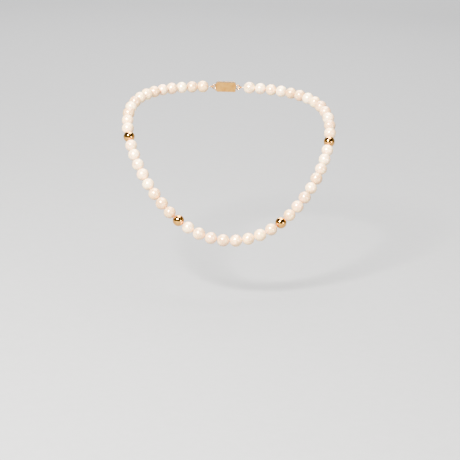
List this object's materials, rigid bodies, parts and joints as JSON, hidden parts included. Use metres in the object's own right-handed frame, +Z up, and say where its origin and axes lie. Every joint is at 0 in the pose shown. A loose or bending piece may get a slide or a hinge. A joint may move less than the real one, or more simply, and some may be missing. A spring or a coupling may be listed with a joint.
{
  "type": "pearl necklace",
  "caption": "Strand of round cream pearls with gold spacer beads, knotted on silk, in its worn curve, closed at the nape by a box clasp with a snap tongue.",
  "frame": {"origin": "the middle of the clasp's flat side, the face that lies on the nape of the neck", "axes": "+Z up, the front of the necklace towards -Y, +X to the right as seen from the front"},
  "size_m": [0.127, 0.1204, 0.0758],
  "materials": {
    "pearl": "cream nacre with a rosy overtone and a soft satin lustre",
    "gold": "polished yellow gold",
    "gimp_wire": "fine coiled gilt wire",
    "silk": "twisted cream silk thread"
  },
  "bodies": {
    "clasp": {"clasp_box": "gold", "clasp_cover": "gold", "silk_thread": "silk"},
    "tongue": {"clasp_tongue": "gold"},
    "spring_leaf": {"clasp_spring_leaf": "gold"},
    "left_end": {"gimp_left": "gimp_wire", "nape_pearl_left_pair": "pearl"},
    "nape_pearl_left_11": {"nape_pearl_left_11": "pearl"},
    "nape_pearl_left_10": {"nape_pearl_left_10": "pearl"},
    "nape_pearl_left_9": {"nape_pearl_left_9": "pearl"},
    "nape_pearl_left_8": {"nape_pearl_left_8": "pearl"},
    "nape_pearl_left_7": {"nape_pearl_left_7": "pearl"},
    "nape_pearl_left_6": {"nape_pearl_left_6": "pearl"},
    "nape_pearl_left_5": {"nape_pearl_left_5": "pearl"},
    "nape_pearl_left_4": {"nape_pearl_left_4": "pearl"},
    "nape_pearl_left_3": {"nape_pearl_left_3": "pearl"},
    "nape_pearl_left_2": {"nape_pearl_left_2": "pearl"},
    "nape_pearl_left_1": {"nape_pearl_left_1": "pearl"},
    "gold_bead_left_upper": {"gold_bead_left_upper": "gold"},
    "side_pearl_left_8": {"side_pearl_left_8": "pearl"},
    "side_pearl_left_7": {"side_pearl_left_7": "pearl"},
    "side_pearl_left_6": {"side_pearl_left_6": "pearl"},
    "side_pearl_left_5": {"side_pearl_left_5": "pearl"},
    "side_pearl_left_4": {"side_pearl_left_4": "pearl"},
    "side_pearl_left_3": {"side_pearl_left_3": "pearl"},
    "side_pearl_left_2": {"side_pearl_left_2": "pearl"},
    "side_pearl_left_1": {"side_pearl_left_1": "pearl"},
    "gold_bead_left_lower": {"gold_bead_left_lower": "gold"},
    "front_pearl_left_4": {"front_pearl_left_4": "pearl"},
    "front_pearl_left_3": {"front_pearl_left_3": "pearl"},
    "front_pearl_left_2": {"front_pearl_left_2": "pearl"},
    "front_pearl_left_1": {"front_pearl_left_1": "pearl"},
    "right_end": {"gimp_right": "gimp_wire", "nape_pearl_right_pair": "pearl"},
    "nape_pearl_right_11": {"nape_pearl_right_11": "pearl"},
    "nape_pearl_right_10": {"nape_pearl_right_10": "pearl"},
    "nape_pearl_right_9": {"nape_pearl_right_9": "pearl"},
    "nape_pearl_right_8": {"nape_pearl_right_8": "pearl"},
    "nape_pearl_right_7": {"nape_pearl_right_7": "pearl"},
    "nape_pearl_right_6": {"nape_pearl_right_6": "pearl"},
    "nape_pearl_right_5": {"nape_pearl_right_5": "pearl"},
    "nape_pearl_right_4": {"nape_pearl_right_4": "pearl"},
    "nape_pearl_right_3": {"nape_pearl_right_3": "pearl"},
    "nape_pearl_right_2": {"nape_pearl_right_2": "pearl"},
    "nape_pearl_right_1": {"nape_pearl_right_1": "pearl"},
    "gold_bead_right_upper": {"gold_bead_right_upper": "gold"},
    "side_pearl_right_8": {"side_pearl_right_8": "pearl"},
    "side_pearl_right_7": {"side_pearl_right_7": "pearl"},
    "side_pearl_right_6": {"side_pearl_right_6": "pearl"},
    "side_pearl_right_5": {"side_pearl_right_5": "pearl"},
    "side_pearl_right_4": {"side_pearl_right_4": "pearl"},
    "side_pearl_right_3": {"side_pearl_right_3": "pearl"},
    "side_pearl_right_2": {"side_pearl_right_2": "pearl"},
    "side_pearl_right_1": {"side_pearl_right_1": "pearl"},
    "gold_bead_right_lower": {"gold_bead_right_lower": "gold"},
    "front_pearl_right_4": {"front_pearl_right_4": "pearl"},
    "front_pearl_right_3": {"front_pearl_right_3": "pearl"},
    "front_pearl_right_2": {"front_pearl_right_2": "pearl"},
    "front_pearl_right_1": {"front_pearl_right_1": "pearl"}
  },
  "joints": [
    {"name": "clasp_slide", "type": "slide", "parent": "clasp", "child": "tongue", "axis": [-1, 0, 0], "range_m": [0, 0.012], "deforming": ["silk_thread"]},
    {"name": "leaf_squeeze", "type": "hinge", "parent": "tongue", "child": "spring_leaf", "pos_m": [0.0045, 0.0013, 0], "axis": [0, 0, 1], "range_deg": [0, 9]},
    {"name": "left_end_swing", "type": "hinge", "parent": "tongue", "child": "left_end", "pos_m": [-0.0086, 0.0008, 0], "axis": [0, 0, -1], "range_deg": [0, 30]},
    {"name": "nape_pearl_left_11_knot", "type": "hinge", "parent": "left_end", "child": "nape_pearl_left_11", "pos_m": [-0.0247, -0.00379, -0.00003], "axis": [-0.4262, 0.9029, 0.0561], "range_deg": [0, 12]},
    {"name": "nape_pearl_left_10_knot", "type": "hinge", "parent": "nape_pearl_left_11", "child": "nape_pearl_left_10", "pos_m": [-0.03098, -0.0072, -0.0001], "axis": [-0.0448, 0.1026, -0.9937], "range_deg": [0, 12.86]},
    {"name": "nape_pearl_left_9_knot", "type": "hinge", "parent": "nape_pearl_left_10", "child": "nape_pearl_left_9", "pos_m": [-0.03697, -0.01137, -0.00026], "axis": [-0.6102, 0.7703, 0.1851], "range_deg": [0, 12]},
    {"name": "nape_pearl_left_8_knot", "type": "hinge", "parent": "nape_pearl_left_9", "child": "nape_pearl_left_8", "pos_m": [-0.04231, -0.01604, -0.00056], "axis": [-0.1513, 0.2353, -0.9601], "range_deg": [0, 13.3]},
    {"name": "nape_pearl_left_7_knot", "type": "hinge", "parent": "nape_pearl_left_8", "child": "nape_pearl_left_7", "pos_m": [-0.04718, -0.02138, -0.00111], "axis": [-0.7449, 0.5589, 0.3644], "range_deg": [0, 12]},
    {"name": "nape_pearl_left_6_knot", "type": "hinge", "parent": "nape_pearl_left_7", "child": "nape_pearl_left_6", "pos_m": [-0.0514, -0.02725, -0.00198], "axis": [-0.3078, 0.3529, -0.8836], "range_deg": [0, 14.83]},
    {"name": "nape_pearl_left_5_knot", "type": "hinge", "parent": "nape_pearl_left_6", "child": "nape_pearl_left_5", "pos_m": [-0.05479, -0.03334, -0.00323], "axis": [0.821, -0.274, -0.5009], "range_deg": [0, 12]},
    {"name": "nape_pearl_left_4_knot", "type": "hinge", "parent": "nape_pearl_left_5", "child": "nape_pearl_left_4", "pos_m": [-0.05743, -0.0398, -0.005], "axis": [-0.4445, 0.4003, -0.8013], "range_deg": [0, 16.38]},
    {"name": "nape_pearl_left_3_knot", "type": "hinge", "parent": "nape_pearl_left_4", "child": "nape_pearl_left_3", "pos_m": [-0.05919, -0.04634, -0.00729], "axis": [0.8559, 0.0311, -0.5162], "range_deg": [0, 12]},
    {"name": "nape_pearl_left_2_knot", "type": "hinge", "parent": "nape_pearl_left_3", "child": "nape_pearl_left_2", "pos_m": [-0.06006, -0.05298, -0.01018], "axis": [-0.5081, 0.3994, -0.7631], "range_deg": [0, 16.45]},
    {"name": "nape_pearl_left_1_knot", "type": "hinge", "parent": "nape_pearl_left_2", "child": "nape_pearl_left_1", "pos_m": [-0.06004, -0.05927, -0.01349], "axis": [0.7714, 0.3457, -0.5342], "range_deg": [0, 12]},
    {"name": "gold_bead_left_upper_knot", "type": "hinge", "parent": "nape_pearl_left_1", "child": "gold_bead_left_upper", "pos_m": [-0.0594, -0.06541, -0.01728], "axis": [-0.6247, 0.3629, -0.6914], "range_deg": [0, 11.46]},
    {"name": "side_pearl_left_8_knot", "type": "hinge", "parent": "gold_bead_left_upper", "child": "side_pearl_left_8", "pos_m": [-0.05828, -0.07088, -0.02117], "axis": [0.775, 0.4948, -0.3931], "range_deg": [0, 12]},
    {"name": "side_pearl_left_7_knot", "type": "hinge", "parent": "side_pearl_left_8", "child": "side_pearl_left_7", "pos_m": [-0.05661, -0.07625, -0.02547], "axis": [-0.5652, 0.4011, -0.7209], "range_deg": [0, 9.94]},
    {"name": "side_pearl_left_6_knot", "type": "hinge", "parent": "side_pearl_left_7", "child": "side_pearl_left_6", "pos_m": [-0.05443, -0.08138, -0.03003], "axis": [0.7871, 0.5798, -0.2105], "range_deg": [0, 12]},
    {"name": "side_pearl_left_5_knot", "type": "hinge", "parent": "side_pearl_left_6", "child": "side_pearl_left_5", "pos_m": [-0.0518, -0.08613, -0.03468], "axis": [-0.4557, 0.4814, -0.7487], "range_deg": [0, 8.89]},
    {"name": "side_pearl_left_4_knot", "type": "hinge", "parent": "side_pearl_left_5", "child": "side_pearl_left_4", "pos_m": [-0.04868, -0.09064, -0.03949], "axis": [0.8017, 0.5974, 0.0187], "range_deg": [0, 12]},
    {"name": "side_pearl_left_3_knot", "type": "hinge", "parent": "side_pearl_left_4", "child": "side_pearl_left_3", "pos_m": [-0.0452, -0.09471, -0.04415], "axis": [-0.3011, 0.5962, -0.7443], "range_deg": [0, 8.91]},
    {"name": "side_pearl_left_2_knot", "type": "hinge", "parent": "side_pearl_left_3", "child": "side_pearl_left_2", "pos_m": [-0.0412, -0.09854, -0.04884], "axis": [0.7803, 0.563, 0.2722], "range_deg": [0, 12]},
    {"name": "side_pearl_left_1_knot", "type": "hinge", "parent": "side_pearl_left_2", "child": "side_pearl_left_1", "pos_m": [-0.0367, -0.10203, -0.05337], "axis": [-0.1474, 0.7073, -0.6913], "range_deg": [0, 10.73]},
    {"name": "gold_bead_left_lower_knot", "type": "hinge", "parent": "side_pearl_left_1", "child": "gold_bead_left_lower", "pos_m": [-0.03183, -0.10507, -0.05752], "axis": [0.6838, 0.5243, 0.5074], "range_deg": [0, 12]},
    {"name": "front_pearl_left_4_knot", "type": "hinge", "parent": "gold_bead_left_lower", "child": "front_pearl_left_4", "pos_m": [-0.02667, -0.10762, -0.06114], "axis": [-0.0472, 0.7844, -0.6185], "range_deg": [0, 14.25]},
    {"name": "front_pearl_left_3_knot", "type": "hinge", "parent": "front_pearl_left_4", "child": "front_pearl_left_3", "pos_m": [-0.02071, -0.10984, -0.06441], "axis": [0.487, 0.5197, 0.7019], "range_deg": [0, 12]},
    {"name": "front_pearl_left_2_knot", "type": "hinge", "parent": "front_pearl_left_3", "child": "front_pearl_left_2", "pos_m": [-0.01409, -0.11152, -0.06697], "axis": [-0.0054, 0.828, -0.5607], "range_deg": [0, 19.8]},
    {"name": "front_pearl_left_1_knot", "type": "hinge", "parent": "front_pearl_left_2", "child": "front_pearl_left_1", "pos_m": [-0.00723, -0.11252, -0.0685], "axis": [0.1704, 0.5373, 0.826], "range_deg": [0, 12]},
    {"name": "right_end_swing", "type": "hinge", "parent": "clasp", "child": "right_end", "pos_m": [0.0086, 0.0008, 0], "axis": [0, 0, 1], "range_deg": [0, 30]},
    {"name": "nape_pearl_right_11_knot", "type": "hinge", "parent": "right_end", "child": "nape_pearl_right_11", "pos_m": [0.0247, -0.00379, -0.00003], "axis": [-0.4262, -0.9029, -0.0561], "range_deg": [0, 12]},
    {"name": "nape_pearl_right_10_knot", "type": "hinge", "parent": "nape_pearl_right_11", "child": "nape_pearl_right_10", "pos_m": [0.03098, -0.0072, -0.0001], "axis": [-0.0448, -0.1026, 0.9937], "range_deg": [0, 12.86]},
    {"name": "nape_pearl_right_9_knot", "type": "hinge", "parent": "nape_pearl_right_10", "child": "nape_pearl_right_9", "pos_m": [0.03697, -0.01137, -0.00026], "axis": [-0.6102, -0.7703, -0.1851], "range_deg": [0, 12]},
    {"name": "nape_pearl_right_8_knot", "type": "hinge", "parent": "nape_pearl_right_9", "child": "nape_pearl_right_8", "pos_m": [0.04231, -0.01604, -0.00056], "axis": [-0.1513, -0.2353, 0.9601], "range_deg": [0, 13.3]},
    {"name": "nape_pearl_right_7_knot", "type": "hinge", "parent": "nape_pearl_right_8", "child": "nape_pearl_right_7", "pos_m": [0.04718, -0.02138, -0.00111], "axis": [-0.7449, -0.5589, -0.3644], "range_deg": [0, 12]},
    {"name": "nape_pearl_right_6_knot", "type": "hinge", "parent": "nape_pearl_right_7", "child": "nape_pearl_right_6", "pos_m": [0.0514, -0.02725, -0.00198], "axis": [-0.3078, -0.3529, 0.8836], "range_deg": [0, 14.83]},
    {"name": "nape_pearl_right_5_knot", "type": "hinge", "parent": "nape_pearl_right_6", "child": "nape_pearl_right_5", "pos_m": [0.05479, -0.03334, -0.00323], "axis": [0.821, 0.274, 0.5009], "range_deg": [0, 12]},
    {"name": "nape_pearl_right_4_knot", "type": "hinge", "parent": "nape_pearl_right_5", "child": "nape_pearl_right_4", "pos_m": [0.05743, -0.0398, -0.005], "axis": [-0.4445, -0.4003, 0.8013], "range_deg": [0, 16.38]},
    {"name": "nape_pearl_right_3_knot", "type": "hinge", "parent": "nape_pearl_right_4", "child": "nape_pearl_right_3", "pos_m": [0.05919, -0.04634, -0.00729], "axis": [0.8559, -0.0311, 0.5162], "range_deg": [0, 12]},
    {"name": "nape_pearl_right_2_knot", "type": "hinge", "parent": "nape_pearl_right_3", "child": "nape_pearl_right_2", "pos_m": [0.06006, -0.05298, -0.01018], "axis": [-0.5081, -0.3994, 0.7631], "range_deg": [0, 16.45]},
    {"name": "nape_pearl_right_1_knot", "type": "hinge", "parent": "nape_pearl_right_2", "child": "nape_pearl_right_1", "pos_m": [0.06004, -0.05927, -0.01349], "axis": [0.7714, -0.3457, 0.5342], "range_deg": [0, 12]},
    {"name": "gold_bead_right_upper_knot", "type": "hinge", "parent": "nape_pearl_right_1", "child": "gold_bead_right_upper", "pos_m": [0.0594, -0.06541, -0.01728], "axis": [-0.6247, -0.3629, 0.6914], "range_deg": [0, 11.46]},
    {"name": "side_pearl_right_8_knot", "type": "hinge", "parent": "gold_bead_right_upper", "child": "side_pearl_right_8", "pos_m": [0.05828, -0.07088, -0.02117], "axis": [0.775, -0.4948, 0.3931], "range_deg": [0, 12]},
    {"name": "side_pearl_right_7_knot", "type": "hinge", "parent": "side_pearl_right_8", "child": "side_pearl_right_7", "pos_m": [0.05661, -0.07625, -0.02547], "axis": [-0.5652, -0.4011, 0.7209], "range_deg": [0, 9.94]},
    {"name": "side_pearl_right_6_knot", "type": "hinge", "parent": "side_pearl_right_7", "child": "side_pearl_right_6", "pos_m": [0.05443, -0.08138, -0.03003], "axis": [0.7871, -0.5798, 0.2105], "range_deg": [0, 12]},
    {"name": "side_pearl_right_5_knot", "type": "hinge", "parent": "side_pearl_right_6", "child": "side_pearl_right_5", "pos_m": [0.0518, -0.08613, -0.03468], "axis": [-0.4557, -0.4814, 0.7487], "range_deg": [0, 8.89]},
    {"name": "side_pearl_right_4_knot", "type": "hinge", "parent": "side_pearl_right_5", "child": "side_pearl_right_4", "pos_m": [0.04868, -0.09064, -0.03949], "axis": [0.8017, -0.5974, -0.0187], "range_deg": [0, 12]},
    {"name": "side_pearl_right_3_knot", "type": "hinge", "parent": "side_pearl_right_4", "child": "side_pearl_right_3", "pos_m": [0.0452, -0.09471, -0.04415], "axis": [-0.3011, -0.5962, 0.7443], "range_deg": [0, 8.91]},
    {"name": "side_pearl_right_2_knot", "type": "hinge", "parent": "side_pearl_right_3", "child": "side_pearl_right_2", "pos_m": [0.0412, -0.09854, -0.04884], "axis": [0.7803, -0.563, -0.2722], "range_deg": [0, 12]},
    {"name": "side_pearl_right_1_knot", "type": "hinge", "parent": "side_pearl_right_2", "child": "side_pearl_right_1", "pos_m": [0.0367, -0.10203, -0.05337], "axis": [-0.1474, -0.7073, 0.6913], "range_deg": [0, 10.73]},
    {"name": "gold_bead_right_lower_knot", "type": "hinge", "parent": "side_pearl_right_1", "child": "gold_bead_right_lower", "pos_m": [0.03183, -0.10507, -0.05752], "axis": [0.6838, -0.5243, -0.5074], "range_deg": [0, 12]},
    {"name": "front_pearl_right_4_knot", "type": "hinge", "parent": "gold_bead_right_lower", "child": "front_pearl_right_4", "pos_m": [0.02667, -0.10762, -0.06114], "axis": [-0.0472, -0.7844, 0.6185], "range_deg": [0, 14.25]},
    {"name": "front_pearl_right_3_knot", "type": "hinge", "parent": "front_pearl_right_4", "child": "front_pearl_right_3", "pos_m": [0.02071, -0.10984, -0.06441], "axis": [0.487, -0.5197, -0.7019], "range_deg": [0, 12]},
    {"name": "front_pearl_right_2_knot", "type": "hinge", "parent": "front_pearl_right_3", "child": "front_pearl_right_2", "pos_m": [0.01409, -0.11152, -0.06697], "axis": [-0.0054, -0.828, 0.5607], "range_deg": [0, 19.8]},
    {"name": "front_pearl_right_1_knot", "type": "hinge", "parent": "front_pearl_right_2", "child": "front_pearl_right_1", "pos_m": [0.00723, -0.11252, -0.0685], "axis": [0.1704, -0.5373, -0.826], "range_deg": [0, 12]}
  ],
  "couplings": [
    {"joint": "leaf_squeeze", "follows": "clasp_slide", "rad_per_m": 13.08}
  ]
}
